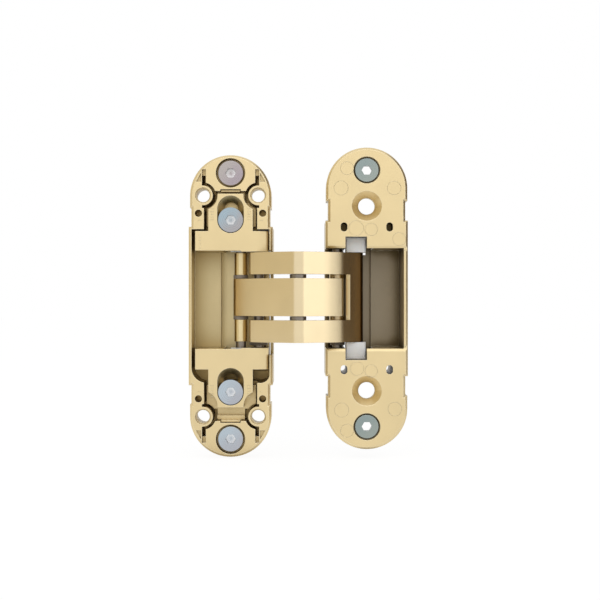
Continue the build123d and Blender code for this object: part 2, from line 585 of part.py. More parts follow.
def export_bodies():
    """Export the housings, the carrier, the blocks, the arms and the screws."""
    shapes = {
        "frame_housing": make_frame_housing(),
        "upper_end_block": make_end_block(1),
        "lower_end_block": make_end_block(-1),
        "carrier": make_carrier(),
        "upper_adjusting_screw": make_adjusting_screw(1),
        "lower_adjusting_screw": make_adjusting_screw(-1),
        "upper_clamp_screw": make_clamp_screw(1),
        "lower_clamp_screw": make_clamp_screw(-1),
        "outer_arm": make_outer_arm(),
        "inner_arm": make_inner_arm(),
        "door_housing": make_door_housing(),
        "upper_adjuster_plug": make_plug(1),
        "lower_adjuster_plug": make_plug(-1),
    }
    for name, shape in shapes.items():
        export_step(shape, f"parts/{name}.step")


os.makedirs("parts", exist_ok=True)
export_bodies()
export_pins()
export_sliders()
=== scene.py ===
"""Looks, light and camera of a concealed door hinge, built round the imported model.

The frame half is on the left, the door half on the right, and the crossed arms join them.
Everything is in metres: X runs from the frame half to the door half, +Y goes into the
mortises and Z is up. The front faces of both halves lie at Y = 0.
"""

import json
import logging
import math
from dataclasses import dataclass, field
from enum import Enum

import bmesh
import bpy
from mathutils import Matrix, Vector

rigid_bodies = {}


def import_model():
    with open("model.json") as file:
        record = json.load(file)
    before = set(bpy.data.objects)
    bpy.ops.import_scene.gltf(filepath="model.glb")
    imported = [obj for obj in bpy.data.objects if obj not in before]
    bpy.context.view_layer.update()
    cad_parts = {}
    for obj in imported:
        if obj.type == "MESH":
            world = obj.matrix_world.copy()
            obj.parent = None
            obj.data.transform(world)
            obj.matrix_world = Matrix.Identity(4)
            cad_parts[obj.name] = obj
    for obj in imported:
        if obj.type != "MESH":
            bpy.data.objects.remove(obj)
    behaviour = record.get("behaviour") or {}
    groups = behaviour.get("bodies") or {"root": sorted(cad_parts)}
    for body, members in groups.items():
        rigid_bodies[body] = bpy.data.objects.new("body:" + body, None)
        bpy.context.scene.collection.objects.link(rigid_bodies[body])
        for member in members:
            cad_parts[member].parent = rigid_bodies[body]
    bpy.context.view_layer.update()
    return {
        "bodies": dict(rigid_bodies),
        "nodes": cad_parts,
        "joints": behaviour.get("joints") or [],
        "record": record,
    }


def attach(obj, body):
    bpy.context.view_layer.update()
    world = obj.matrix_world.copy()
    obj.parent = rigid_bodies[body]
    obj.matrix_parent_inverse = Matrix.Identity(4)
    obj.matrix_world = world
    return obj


LOG = logging.getLogger("hinge")
MM = 0.001
WHITE = "#FFFFFF"

# Most values of a noise texture lie between these two
NOISE_LOW, NOISE_HIGH = 0.3, 0.7
BEVEL_SAMPLES = 4
OCCLUSION_SAMPLES = 6

# A wave texture runs through this many radians in one unit
WAVE_RADIANS = 20.0

# Depth of the door pocket behind the front faces, where the pocket colour, partly duller
# plating and partly painted shade, is at its darkest
POCKET_END_MM = 22.0


# Nodes, colours and materials


def linear(hex_colour: str) -> tuple[float, float, float, float]:
    """Turn an sRGB hex colour into linear values with full opacity.

    Args:
        hex_colour: Six hex digits with a leading hash.

    Returns:
        Red, green, blue and alpha, each from 0 to 1.
    """
    # The sRGB curve starts with a short straight toe
    parts = [int(hex_colour[i : i + 2], 16) / 255 for i in (1, 3, 5)]
    red, green, blue = (
        c / 12.92 if c <= 0.04045 else ((c + 0.055) / 1.055) ** 2.4 for c in parts
    )
    return red, green, blue, 1.0


def add_node(
    tree: bpy.types.NodeTree,
    kind: str,
    settings: dict | None = None,
    links: dict | None = None,
    **properties: object,
) -> bpy.types.Node:
    """Add a node with its settings and links.

    Args:
        tree: The node tree.
        kind: The node's type, without the word ShaderNode.
        settings: Values by input name or number.
        links: Output sockets by the input name or number that they feed.
        **properties: Values set on the node itself.

    Returns:
        The new node.
    """
    node = tree.nodes.new("ShaderNode" + kind)
    for key, value in properties.items():
        setattr(node, key, value)
    for key, value in (settings or {}).items():
        node.inputs[key].default_value = value
    for key, socket in (links or {}).items():
        tree.links.new(socket, node.inputs[key])
    return node


def per_mm(size_mm: float) -> float:
    """Give the texture scale at which one feature is as large as the given size."""
    return 1.0 / (size_mm * MM)


def new_material(name: str) -> tuple[bpy.types.Material, bpy.types.NodeTree]:
    """Make an empty node material.

    Args:
        name: The material's name.

    Returns:
        The material and its tree.
    """
    material = bpy.data.materials.new(name)
    material.use_nodes = True
    material.node_tree.nodes.clear()
    return material, material.node_tree


def surface(tree: bpy.types.NodeTree, settings: dict, links: dict) -> None:
    """Add the surface shader and the output.

    Args:
        tree: The material's tree.
        settings: Values for the shader's own sockets.
        links: Sockets that feed the shader.
    """
    shader = add_node(tree, "BsdfPrincipled", settings, links)
    add_node(tree, "OutputMaterial", links={"Surface": shader.outputs["BSDF"]})


def edge_share(tree: bpy.types.NodeTree, rounded: bpy.types.Node) -> bpy.types.NodeSocket:
    """Find where an edge is rounded, for the wear along it.

    Args:
        tree: The material's tree.
        rounded: The node that rounds the edges.

    Returns:
        A socket that is 0 on flats and 1 on edges.
    """
    flat_cosine, edge_cosine = 0.999, 0.90
    plain = add_node(tree, "NewGeometry")
    meet = add_node(
        tree,
        "VectorMath",
        links={0: rounded.outputs["Normal"], 1: plain.outputs["Normal"]},
        operation="DOT_PRODUCT",
    )
    share = add_node(
        tree,
        "MapRange",
        {"From Min": flat_cosine, "From Max": edge_cosine},
        {"Value": meet.outputs["Value"]},
    )
    return share.outputs["Result"]


def occlusion_share(
    tree: bpy.types.NodeTree, reach_mm: float, most: float, full_at: float = 0.25
) -> bpy.types.NodeSocket:
    """Find how far a place is shut in by nearby walls, as in a groove, to place the painted
    shade and light that go there.

    Args:
        tree: The material's tree.
        reach_mm: How far away a wall still counts.
        most: The value in the deepest groove.
        full_at: The open share of the view at which that value is reached.

    Returns:
        A socket that is 0 on open faces and most in a groove.
    """
    open_face = 0.85
    seen = add_node(
        tree,
        "AmbientOcclusion",
        {"Distance": reach_mm * MM},
        samples=OCCLUSION_SAMPLES,
    )
    share = add_node(
        tree,
        "MapRange",
        {"From Min": open_face, "From Max": full_at, "To Max": most},
        {"Value": seen.outputs["AO"]},
    )
    return share.outputs["Result"]


def cloud_shade(
    tree: bpy.types.NodeTree,
    place: bpy.types.NodeSocket,
    cloud_mm: float,
    shades: tuple[float, float],
    detail: float = 2.0,
) -> bpy.types.NodeSocket:
    """Let the brightness of a finish drift in soft patches.

    Args:
        tree: The material's tree.
        place: The place on the piece.
        cloud_mm: The size of the patches.
        shades: The lowest and the highest brightness.
        detail: How broken up the patches are.

    Returns:
        The brightness, which is about 1.
    """
    cloud = add_node(
        tree,
        "TexNoise",
        {"Scale": per_mm(cloud_mm), "Detail": detail},
        {"Vector": place},
    )
    shade = add_node(
        tree,
        "MapRange",
        {
            "From Min": NOISE_LOW,
            "From Max": NOISE_HIGH,
            "To Min": shades[0],
            "To Max": shades[1],
        },
        {"Value": cloud.outputs["Fac"]},
    )
    return shade.outputs["Result"]


def worn(
    tree: bpy.types.NodeTree,
    rounded: bpy.types.Node,
    colour: bpy.types.NodeSocket,
    edge_colour: str,
    most: float,
) -> bpy.types.NodeSocket:
    """Polish a colour lighter along the edges.

    Args:
        tree: The material's tree.
        rounded: The node that rounds the edges.
        colour: The colour of the flats.
        edge_colour: The colour of a worn edge, as sRGB hex.
        most: How much of it shows on the sharpest edge.

    Returns:
        The mixed colour.
    """
    wear = add_node(
        tree,
        "Math",
        {1: most},
        {0: edge_share(tree, rounded)},
        operation="MULTIPLY",
    )
    mixed = add_node(
        tree,
        "Mix",
        {"B": linear(edge_colour)},
        {"A": colour, "Factor": wear.outputs[0]},
        data_type="RGBA",
    )
    return mixed.outputs["Result"]


@dataclass(frozen=True)
class GoldPlate:
    """Satin gold electroplate over cast zinc, tumbled before plating.

    Tumbling leaves an even pebbled skin with soft edges, and the edges are polished lighter
    than the flats. Far into a pocket the colour is mixed browner where walls close round it,
    partly for duller, thinner plating and partly as painted shade, and in the grooves and small
    holes it is mixed darkest, as painted shade.
    The real pebbles are about 0.2 mm across, drawn coarser so that they show.
    """

    name: str
    # Colour far into the pockets: partly duller plating, partly painted shade
    pocket_shade: str
    gold: str = "#E4CFA0"
    worn_edge: str = "#FBF1D4"
    # Painted shade colour for the grooves and small holes
    groove: str = "#8A7140"
    roughness: float = 0.36
    roughness_spread: float = 0.05
    cloud_mm: float = 14.0
    cloud_shades: tuple[float, float] = (0.965, 1.03)
    skin_mm: float = 0.45
    skin_depth_mm: float = 0.012
    skin_strength: float = 0.35
    edge_mm: float = 0.30
    edge_wear: float = 0.8
    groove_mm: float = 4.0
    groove_shade_share: float = 0.7
    groove_open: float = 0.25
    pocket_mm: float = 40.0
    pocket_open: float = 0.5
    deep_from_mm: float = 1.5
    deep_to_mm: float = 15.0
    pocket_shade_share: float = 0.9

    def build(self) -> bpy.types.Material:
        """Make the material.

        Returns:
            The finished material.
        """
        material, tree = new_material(self.name)
        place = add_node(tree, "TexCoord").outputs["Object"]
        patchy = add_node(
            tree,
            "HueSaturation",
            links={
                "Color": self.unworn_with_painted_shade(tree, place),
                "Value": cloud_shade(
                    tree, place, self.cloud_mm, self.cloud_shades, detail=3.0
                ),
            },
        )
        rounded = add_node(
            tree, "Bevel", {"Radius": self.edge_mm * MM}, samples=BEVEL_SAMPLES
        )
        colour = worn(
            tree, rounded, patchy.outputs["Color"], self.worn_edge, self.edge_wear
        )
        skin = add_node(
            tree,
            "TexNoise",
            {"Scale": per_mm(self.skin_mm), "Detail": 4.0, "Roughness": 0.6},
            {"Vector": place},
        )
        rough = add_node(
            tree,
            "MapRange",
            {
                "From Min": NOISE_LOW,
                "From Max": NOISE_HIGH,
                "To Min": self.roughness - self.roughness_spread,
                "To Max": self.roughness + self.roughness_spread,
            },
            {"Value": skin.outputs["Fac"]},
        )
        bump = add_node(
            tree,
            "Bump",
            {"Strength": self.skin_strength, "Distance": self.skin_depth_mm * MM},
            {"Height": skin.outputs["Fac"], "Normal": rounded.outputs["Normal"]},
        )
        surface(
            tree,
            {"Metallic": 1.0},
            {
                "Base Color": colour,
                "Roughness": rough.outputs["Result"],
                "Normal": bump.outputs["Normal"],
            },
        )
        return material

    def unworn_with_painted_shade(
        self, tree: bpy.types.NodeTree, place: bpy.types.NodeSocket
    ) -> bpy.types.NodeSocket:
        """Mix the plating's colour from the flats with the painted shade of the pockets and the
        grooves.

        Args:
            tree: The material's tree.
            place: The place on the piece.

        Returns:
            The colour before any wear.
        """
        axes = add_node(tree, "SeparateXYZ", links={0: place})
        depth = add_node(
            tree,
            "MapRange",
            {
                "From Min": self.deep_from_mm * MM,
                "From Max": self.deep_to_mm * MM,
                "To Max": self.pocket_shade_share,
            },
            {"Value": axes.outputs["Y"]},
            interpolation_type="SMOOTHSTEP",
        )
        inside = add_node(
            tree,
            "Math",
            links={
                0: depth.outputs["Result"],
                1: occlusion_share(tree, self.pocket_mm, most=1.0, full_at=self.pocket_open),
            },
            operation="MULTIPLY",
        )
        # Painted shade far into the pockets, mixed in where walls close round the place
        pocket_shaded = add_node(
            tree,
            "Mix",
            {"A": linear(self.gold), "B": linear(self.pocket_shade)},
            {"Factor": inside.outputs[0]},
            data_type="RGBA",
        )
        # Painted shade in the grooves and small holes, where walls close round the place
        groove_shaded = add_node(
            tree,
            "Mix",
            {"B": linear(self.groove)},
            {
                "A": pocket_shaded.outputs["Result"],
                "Factor": occlusion_share(
                    tree, self.groove_mm, self.groove_shade_share, self.groove_open
                ),
            },
            data_type="RGBA",
        )
        return groove_shaded.outputs["Result"]


@dataclass(frozen=True)
class LinishedGold:
    """Satin gold electroplate over arms that were linished before plating.

    Linishing leaves fine lines round the bends, so a highlight runs straight down each arm.
    The ends that turn inside the pockets are mixed darker and browner as painted shade where
    walls close round them, and the outer arm's heel, on the side that is turned to the door
    pocket's dark wall, gets the same dark brown as a painted reflection of that wall.
    The real lines are about 0.05 mm apart, too fine to show, so they are drawn coarser.
    """

    name: str
    gold: str = "#E6D3AC"
    worn_edge: str = "#F6EBCC"
    roughness: float = 0.24
    roughness_spread: float = 0.008
    cloud_mm: float = 11.0
    cloud_shades: tuple[float, float] = (0.97, 1.02)
    line_mm: float = 0.16
    line_length_mm: float = 9.0
    line_depth_mm: float = 0.0004
    line_strength: float = 0.3
    edge_mm: float = 0.2
    edge_wear: float = 0.5
    # Dark brown for the painted shade at the arm ends and the painted reflection on the heel
    dark_shade_and_reflection: str = "#5C3E0A"
    shade_reach_mm: float = 25.0
    shade_open: float = 0.45
    shade_most: float = 0.35
    heel_from_mm: float = 39.4
    heel_to_mm: float = 41.6
    heel_facing: tuple[float, float] = (0.1, 0.4)
    heel_reflection_most: float = 0.0

    def build(self) -> bpy.types.Material:
        """Make the material.

        Returns:
            The finished material.
        """
        material, tree = new_material(self.name)
        place = add_node(tree, "TexCoord").outputs["Object"]
        along = per_mm(self.line_length_mm)
        stretched = add_node(
            tree,
            "Mapping",
            {"Scale": (along, along, per_mm(self.line_mm))},
            {"Vector": place},
        )
        lines = add_node(
            tree,
            "TexNoise",
            {"Scale": 1.0, "Detail": 3.0, "Roughness": 0.55},
            {"Vector": stretched.outputs["Vector"]},
        )
        tone = add_node(
            tree,
            "HueSaturation",
            {"Color": linear(self.gold)},
            {"Value": cloud_shade(tree, place, self.cloud_mm, self.cloud_shades)},
        )
        rounded = add_node(
            tree, "Bevel", {"Radius": self.edge_mm * MM}, samples=BEVEL_SAMPLES
        )
        # Painted shade where walls close round the arm
        shaded = add_node(
            tree,
            "Mix",
            {"B": linear(self.dark_shade_and_reflection)},
            {
                "A": worn(
                    tree, rounded, tone.outputs["Color"], self.worn_edge, self.edge_wear
                ),
                "Factor": occlusion_share(
                    tree, self.shade_reach_mm, self.shade_most, self.shade_open
                ),
            },
            data_type="RGBA",
        )
        # Painted reflection of the door pocket's dark wall on the outer arm's heel
        colour = add_node(
            tree,
            "Mix",
            {"B": linear(self.dark_shade_and_reflection)},
            {"A": shaded.outputs["Result"], "Factor": self.heel_reflection_share(tree)},
            data_type="RGBA",
        )
        rough = add_node(
            tree,
            "MapRange",
            {
                "From Min": NOISE_LOW,
                "From Max": NOISE_HIGH,
                "To Min": self.roughness - self.roughness_spread,
                "To Max": self.roughness + self.roughness_spread,
            },
            {"Value": lines.outputs["Fac"]},
        )
        bump = add_node(
            tree,
            "Bump",
            {"Strength": self.line_strength, "Distance": self.line_depth_mm * MM},
            {"Height": lines.outputs["Fac"], "Normal": rounded.outputs["Normal"]},
        )
        surface(
            tree,
            {"Metallic": 1.0},
            {
                "Base Color": colour.outputs["Result"],
                "Roughness": rough.outputs["Result"],
                "Normal": bump.outputs["Normal"],
            },
        )
        return material

    def heel_reflection_share(self, tree: bpy.types.NodeTree) -> bpy.types.NodeSocket:
        """Find the outer arm's heel, on the side that is turned to the door, where a painted
        reflection of the dark pocket wall goes.

        Args:
            tree: The material's tree.

        Returns:
            A socket that is 0 away from the heel.
        """
        coordinates = add_node(tree, "TexCoord")
        place = add_node(tree, "SeparateXYZ", links={0: coordinates.outputs["Object"]})
        facing = add_node(tree, "SeparateXYZ", links={0: coordinates.outputs["Normal"]})
        along = add_node(
            tree,
            "MapRange",
            {
                "From Min": self.heel_from_mm * MM,
                "From Max": self.heel_to_mm * MM,
                "To Max": self.heel_reflection_most,
            },
            {"Value": place.outputs["X"]},
            interpolation_type="SMOOTHSTEP",
        )
        turned = add_node(
            tree,
            "MapRange",
            {"From Min": self.heel_facing[0], "From Max": self.heel_facing[1]},
            {"Value": facing.outputs["X"]},
        )
        share = add_node(
            tree,
            "Math",
            links={0: along.outputs["Result"], 1: turned.outputs["Result"]},
            operation="MULTIPLY",
        )
        return share.outputs[0]


class Passivation(Enum):
    """Tints that a clear chromate gives to zinc plated steel.

    Each is a pair, and the film shifts from one to the other.
    """

    PINK = ("#B2ABA8", "#AA9FA5")
    BLUE = ("#A3B4BE", "#ABA9AB")
    GREEN = ("#929F9D", "#9BA49E")
    CLEAR = ("#B7C3CC", "#B3B6BD")


@dataclass(frozen=True)
class TurnedZinc:
    """Turned steel with bright zinc plating and a clear chromate.

    Facing on a lathe leaves rings round the axis, and the chromate film shifts between two
    tints across the head. The real feed is about 0.1 mm, drawn coarser so that it shows.
    The hexagon socket's floor is painted bright as a painted highlight and its walls dark as
    painted shade, by how squarely each faces the front.
    """

    name: str
    tint: Passivation
    width_mm: float
    roughness: tuple[float, float] = (0.27, 0.36)
    feed_mm: float = 0.7106
    feed_waver: float = 0.6
    feed_depth_mm: float = 0.01
    feed_strength: float = 0.08
    film_mm: float = 5.0
    film_drift: tuple[float, float] = (0.1, 0.9)
    edge_mm: float = 0.2
    # Painted highlight for the hexagon socket's floor and painted shade for its walls
    socket: str = WHITE
    wall: str = "#3C4240"
    socket_mm: float = 1.8

    def build(self) -> bpy.types.Material:
        """Make the material.

        Returns:
            The finished material.
        """
        material, tree = new_material(self.name)
        coordinates = add_node(tree, "TexCoord")
        centred = add_node(
            tree,
            "VectorMath",
            {1: (0.5, 0.0, 0.5)},
            {0: coordinates.outputs["Generated"]},
            operation="SUBTRACT",
        )
        rings = add_node(
            tree,
            "TexWave",
            {
                "Scale": math.tau / WAVE_RADIANS * self.width_mm / self.feed_mm,
                "Distortion": self.feed_waver,
                "Detail": 2.0,
            },
            {"Vector": centred.outputs["Vector"]},
            wave_type="RINGS",
            rings_direction="Y",
        )
        film = add_node(
            tree,
            "TexNoise",
            {"Scale": per_mm(self.film_mm), "Detail": 2.0},
            {"Vector": coordinates.outputs["Object"]},
        )
        across = add_node(tree, "SeparateXYZ", links={0: coordinates.outputs["Generated"]})
        sideways = add_node(
            tree,
            "Math",
            links={0: across.outputs["X"], 1: film.outputs["Fac"]},
            operation="ADD",
        )
        slanted = add_node(
            tree,
            "Math",
            links={0: sideways.outputs[0], 1: across.outputs["Z"]},
            operation="SUBTRACT",
        )
        patch = add_node(
            tree,
            "MapRange",
            {"From Min": self.film_drift[0], "From Max": self.film_drift[1]},
            {"Value": slanted.outputs[0]},
        )
        first, second = self.tint.value
        film_tint = add_node(
            tree,
            "Mix",
            {"A": linear(first), "B": linear(second)},
            {"Factor": patch.outputs["Result"]},
            data_type="RGBA",
        )
        facing = add_node(tree, "SeparateXYZ", links={0: coordinates.outputs["Normal"]})
        level = add_node(tree, "Math", links={0: facing.outputs["Y"]}, operation="ABSOLUTE")
        # Painted highlight on faces turned to the front, painted shade on the walls
        socket_painted_light = add_node(
            tree,
            "Mix",
            {"A": linear(self.wall), "B": linear(self.socket)},
            {"Factor": level.outputs[0]},
            data_type="RGBA",
        )
        # The painted socket light goes where walls close round the place, inside the hexagon
        colour = add_node(
            tree,
            "Mix",
            links={
                "A": film_tint.outputs["Result"],
                "B": socket_painted_light.outputs["Result"],
                "Factor": occlusion_share(tree, self.socket_mm, most=1.0),
            },
            data_type="RGBA",
        )
        rounded = add_node(
            tree, "Bevel", {"Radius": self.edge_mm * MM}, samples=BEVEL_SAMPLES
        )
        bump = add_node(
            tree,
            "Bump",
            {"Strength": self.feed_strength, "Distance": self.feed_depth_mm * MM},
            {"Height": rings.outputs["Fac"], "Normal": rounded.outputs["Normal"]},
        )
        rough = add_node(
            tree,
            "MapRange",
            {"To Min": self.roughness[0], "To Max": self.roughness[1]},
            {"Value": rings.outputs["Fac"]},
        )
        surface(
            tree,
            {"Metallic": 1.0},
            {
                "Base Color": colour.outputs["Result"],
                "Roughness": rough.outputs["Result"],
                "Normal": bump.outputs["Normal"],
            },
        )
        return material


@dataclass(frozen=True)
class GroundSteel:
    """Centreless ground steel with an oil film: dark, with fine rings round the pin.

    The real rings are about 0.05 mm apart, drawn coarser so that they show.
    """

    name: str = "ground_steel_pin"
    steel: str = "#8A8279"
    roughness: float = 0.32
    ring_mm: float = 0.2
    ring_length_mm: float = 8.0
    ring_depth_mm: float = 0.005
    ring_strength: float = 0.2
    ring_shades: tuple[float, float] = (0.9, 1.1)
    edge_mm: float = 0.15

    def build(self) -> bpy.types.Material:
        """Make the material.

        Returns:
            The finished material.
        """
        material, tree = new_material(self.name)
        place = add_node(tree, "TexCoord").outputs["Object"]
        around = per_mm(self.ring_length_mm)
        flat = add_node(
            tree,
            "Mapping",
            {"Scale": (around, around, per_mm(self.ring_mm))},
            {"Vector": place},
        )
        rings = add_node(
            tree,
            "TexNoise",
            {"Scale": 1.0, "Detail": 2.0},
            {"Vector": flat.outputs["Vector"]},
        )
        shade = add_node(
            tree,
            "MapRange",
            {
                "From Min": NOISE_LOW,
                "From Max": NOISE_HIGH,
                "To Min": self.ring_shades[0],
                "To Max": self.ring_shades[1],
            },
            {"Value": rings.outputs["Fac"]},
        )
        tone = add_node(
            tree,
            "HueSaturation",
            {"Color": linear(self.steel)},
            {"Value": shade.outputs["Result"]},
        )
        rounded = add_node(
            tree, "Bevel", {"Radius": self.edge_mm * MM}, samples=BEVEL_SAMPLES
        )
        bump = add_node(
            tree,
            "Bump",
            {"Strength": self.ring_strength, "Distance": self.ring_depth_mm * MM},
            {"Height": rings.outputs["Fac"], "Normal": rounded.outputs["Normal"]},
        )
        surface(
            tree,
            {"Metallic": 1.0, "Roughness": self.roughness},
            {
                "Base Color": tone.outputs["Color"],
                "Normal": bump.outputs["Normal"],
            },
        )
        return material


@dataclass(frozen=True)
class MouldedPolymer:
    """Injection moulded plastic: even colour, a fine eroded skin and soft edges.

    The real skin is about 0.1 mm fine, drawn coarser so that it shows.
    """

    name: str
    colour: str
    roughness: float
    ior: float = 1.5
    skin_mm: float = 0.3
    skin_depth_mm: float = 0.01
    skin_strength: float = 0.25
    cloud_mm: float = 4.0
    cloud_shades: tuple[float, float] = (0.95, 1.03)
    edge_mm: float = 0.25
    glow: float = 0.0
    glow_mm: float = 0.8
    glow_by_colour: tuple[float, float, float] = (1.0, 0.9, 0.8)

    def build(self) -> bpy.types.Material:
        """Make the material.

        Returns:
            The finished material.
        """
        material, tree = new_material(self.name)
        place = add_node(tree, "TexCoord").outputs["Object"]
        skin = add_node(
            tree,
            "TexNoise",
            {"Scale": per_mm(self.skin_mm), "Detail": 3.0},
            {"Vector": place},
        )
        tone = add_node(
            tree,
            "HueSaturation",
            {"Color": linear(self.colour)},
            {"Value": cloud_shade(tree, place, self.cloud_mm, self.cloud_shades)},
        )
        rounded = add_node(
            tree, "Bevel", {"Radius": self.edge_mm * MM}, samples=BEVEL_SAMPLES
        )
        bump = add_node(
            tree,
            "Bump",
            {"Strength": self.skin_strength, "Distance": self.skin_depth_mm * MM},
            {"Height": skin.outputs["Fac"], "Normal": rounded.outputs["Normal"]},
        )
        surface(
            tree,
            {
                "Roughness": self.roughness,
                "IOR": self.ior,
                "Subsurface Weight": self.glow,
                "Subsurface Radius": self.glow_by_colour,
                "Subsurface Scale": self.glow_mm * MM,
            },
            {
                "Base Color": tone.outputs["Color"],
                "Normal": bump.outputs["Normal"],
            },
        )
        return material


# Pieces, and the small raised marks that a die leaves on a casting


def new_piece(
    name: str, build: bmesh.types.BMesh, material: bpy.types.Material
) -> bpy.types.Object:
    """Turn a finished mesh into a piece of the scene.

    Args:
        name: The piece's name.
        build: The mesh, in metres and in the frame of the model. It is freed here.
        material: The piece's material.

    Returns:
        The new object.
    """
    mesh = bpy.data.meshes.new(name)
    build.to_mesh(mesh)
    build.free()
    mesh.materials.append(material)
    piece = bpy.data.objects.new(name, mesh)
    bpy.context.scene.collection.objects.link(piece)
    return piece


def mesh_piece(
    name: str, build: bmesh.types.BMesh, material: bpy.types.Material, body: str
) -> None:
    """Turn a finished mesh into a smooth piece that rides on a body.

    Args:
        name: The piece's name.
        build: The mesh, in metres and in the frame of the model. It is freed here.
        material: The piece's material.
        body: The body that carries it.
    """
    bmesh.ops.recalc_face_normals(build, faces=build.faces)
    piece = new_piece(name, build, material)
    piece.data.shade_smooth()
    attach(piece, body)
    LOG.info("%s rides on %s, %d faces", name, body, len(piece.data.polygons))


def add_bead_ring(
    build: bmesh.types.BMesh,
    centre: tuple[float, float],
    radius: float,
    bead: float,
    lift: float = 0.4,
    turns: int = 40,
    sides: int = 6,
) -> None:
    """Add a low round bead that runs in a circle on the front face.

    Args:
        build: The mesh to add to.
        centre: X and Z of the circle's centre, in mm.
        radius: The circle's radius, in mm.
        bead: Half the bead's width, in mm. Its lower half is sunk in the casting.
        lift: How high it stands, as a share of half its width.
        turns: Steps round the circle.
        sides: Steps round the bead.
    """
    loops = []
    for i in range(turns):
        around = math.tau * i / turns
        loop = []
        for j in range(sides):
            across = math.tau * j / sides
            reach = radius + bead * math.cos(across)
            rise = -lift * bead * math.sin(across)
            loop.append(
                build.verts.new(
                    (
                        (centre[0] + reach * math.cos(around)) * MM,
                        rise * MM,
                        (centre[1] + reach * math.sin(around)) * MM,
                    )
                )
            )
        loops.append(loop)
    for i, loop in enumerate(loops):
        following = loops[(i + 1) % turns]
        for j in range(sides):
            k = (j + 1) % sides
            build.faces.new((loop[j], following[j], following[k], loop[k]))


def add_tick(
    build: bmesh.types.BMesh,
    start: tuple[float, float],
    end: tuple[float, float],
    half_width: float,
    lift: float = 0.45,
    sides: int = 6,
) -> None:
    """Add a short raised line with tapered ends on the front face.

    Args:
        build: The mesh to add to.
        start: X and Z of one end, in mm.
        end: X and Z of the other end, in mm.
        half_width: Half the line's width, in mm. Its lower half is sunk in the casting.
        lift: How high it stands, as a share of half its width.
        sides: Steps round the line.
    """
    begin, finish = Vector((start[0], 0, start[1])), Vector((end[0], 0, end[1]))
    along = (finish - begin).normalized()
    side = along.cross(Vector((0, 1, 0)))
    # How far along the line, and what share of its width it has there
    stations = ((0.0, 0.35), (0.12, 1.0), (0.88, 1.0), (1.0, 0.35))
    loops = []
    for share, width in stations:
        centre = begin.lerp(finish, share)
        loop = []
        for j in range(sides):
            angle = math.tau * j / sides
            point = centre + side * (half_width * width * math.cos(angle))
            point.y -= lift * half_width * width * math.sin(angle)
            loop.append(build.verts.new(point * MM))
        loops.append(loop)
    for loop, following in zip(loops, loops[1:]):
        for j in range(sides):
            k = (j + 1) % sides
            build.faces.new((loop[j], following[j], following[k], loop[k]))
    build.faces.new(loops[0])
    build.faces.new(loops[-1])


# Sub-assemblies


def dress(node: str, material: bpy.types.Material, frame: dict) -> None:
    """Give a CAD node its finish.

    Args:
        node: The node's name.
        material: Its material.
    """
    mesh = frame["nodes"][node].data
    mesh.materials.clear()
    mesh.materials.append(material)
    LOG.info("%s is dressed in %s", node, material.name)


@dataclass
class FrameHalf:
    """The half that is screwed into the door frame, with its carrier and adjusters.

    The scales beside the clamp screws and the marks on the pads show how far the carrier
    has been moved. The screws are given by end, each as the finishes of its depth screw and
    its height screw. The scales' heights are by end too, 1 for the upper one and -1 for the
    lower. All sizes are in mm.
    """

    frame: dict
    casting: bpy.types.Material
    slide_casting: bpy.types.Material
    screws: dict[str, tuple[bpy.types.Material, bpy.types.Material]]
    scale_x: tuple[float, float] = (6.1, 7.3)
    scale_z: dict[int, float] = field(default_factory=lambda: {1: 33.4, -1: 31.0})
    scale_pitch: float = 1.0
    scale_ticks: int = 5
    pad_mark_x: tuple[float, float] = (10.6, 11.9)
    pad_mark_z: float = 31.2
    head_mark_x: tuple[float, float] = (-11.6, -10.7)
    head_mark_z: float = 20.9
    head_ticks: int = 6
    tick_half_width: float = 0.11

    def dress(self) -> None:
        """Give every node of this half its finish."""
        dress("frame_housing", self.casting, self.frame)
        for node in ("upper_end_block", "lower_end_block", "carrier"):
            dress(node, self.slide_casting, self.frame)
        for end, (depth_screw, height_screw) in self.screws.items():
            dress(f"{end}_adjusting_screw", depth_screw, self.frame)
            dress(f"{end}_clamp_screw", height_screw, self.frame)

    def build(self) -> None:
        """Make the raised scale marks."""
        carrier_marks = bmesh.new()
        pad_marks = bmesh.new()
        inner, outer = self.scale_x
        for end in (1, -1):
            for side in (1, -1):
                for i in range(self.scale_ticks):
                    z = end * self.scale_z[end] + (i - self.scale_ticks // 2) * self.scale_pitch
                    add_tick(
                        carrier_marks,
                        (side * inner, z),
                        (side * outer, z),
                        self.tick_half_width,
                    )
                z = end * self.pad_mark_z
                x0, x1 = self.pad_mark_x
                add_tick(pad_marks, (side * x0, z), (side * x1, z), self.tick_half_width)
        for i in range(self.head_ticks):
            z = self.head_mark_z + i * self.scale_pitch
            add_tick(
                carrier_marks,
                (self.head_mark_x[0], z),
                (self.head_mark_x[1], z),
                self.tick_half_width,
            )
        mesh_piece(
            "carrier_scale_marks", carrier_marks, self.slide_casting, "carrier"
        )
        mesh_piece("frame_index_marks", pad_marks, self.casting, "frame_housing")


@dataclass
class ArmPair:
    """The crossed arms with their pins, washers, sleeves and slider blocks."""

    frame: dict
    outer_plate: bpy.types.Material
    inner_plate: bpy.types.Material
    sleeve: bpy.types.Material
    steel: bpy.types.Material
    washer: bpy.types.Material
    nylon: bpy.types.Material

    def dress(self) -> None:
        """Give every node of the arms its finish."""
        finishes = {
            self.outer_plate: ("outer_arm",),
            self.inner_plate: ("inner_arm",),
            self.sleeve: ("upper_spacer_sleeve", "lower_spacer_sleeve"),
            self.steel: (
                "centre_pin",
                "upper_centre_washer",
                "lower_centre_washer",
                "frame_pivot_pin",
                "door_pivot_pin",
                "frame_slider_pin",
                "door_slider_pin",
            ),
            self.washer: (
                "frame_pivot_washer",
                "door_pivot_washer",
                "upper_spacer_washer",
                "lower_spacer_washer",
            ),
            self.nylon: (
                "upper_frame_slider",
                "lower_frame_slider",
                "upper_door_slider",
                "lower_door_slider",
            ),
        }
        for material, nodes in finishes.items():
            for node in nodes:
                dress(node, material, self.frame)


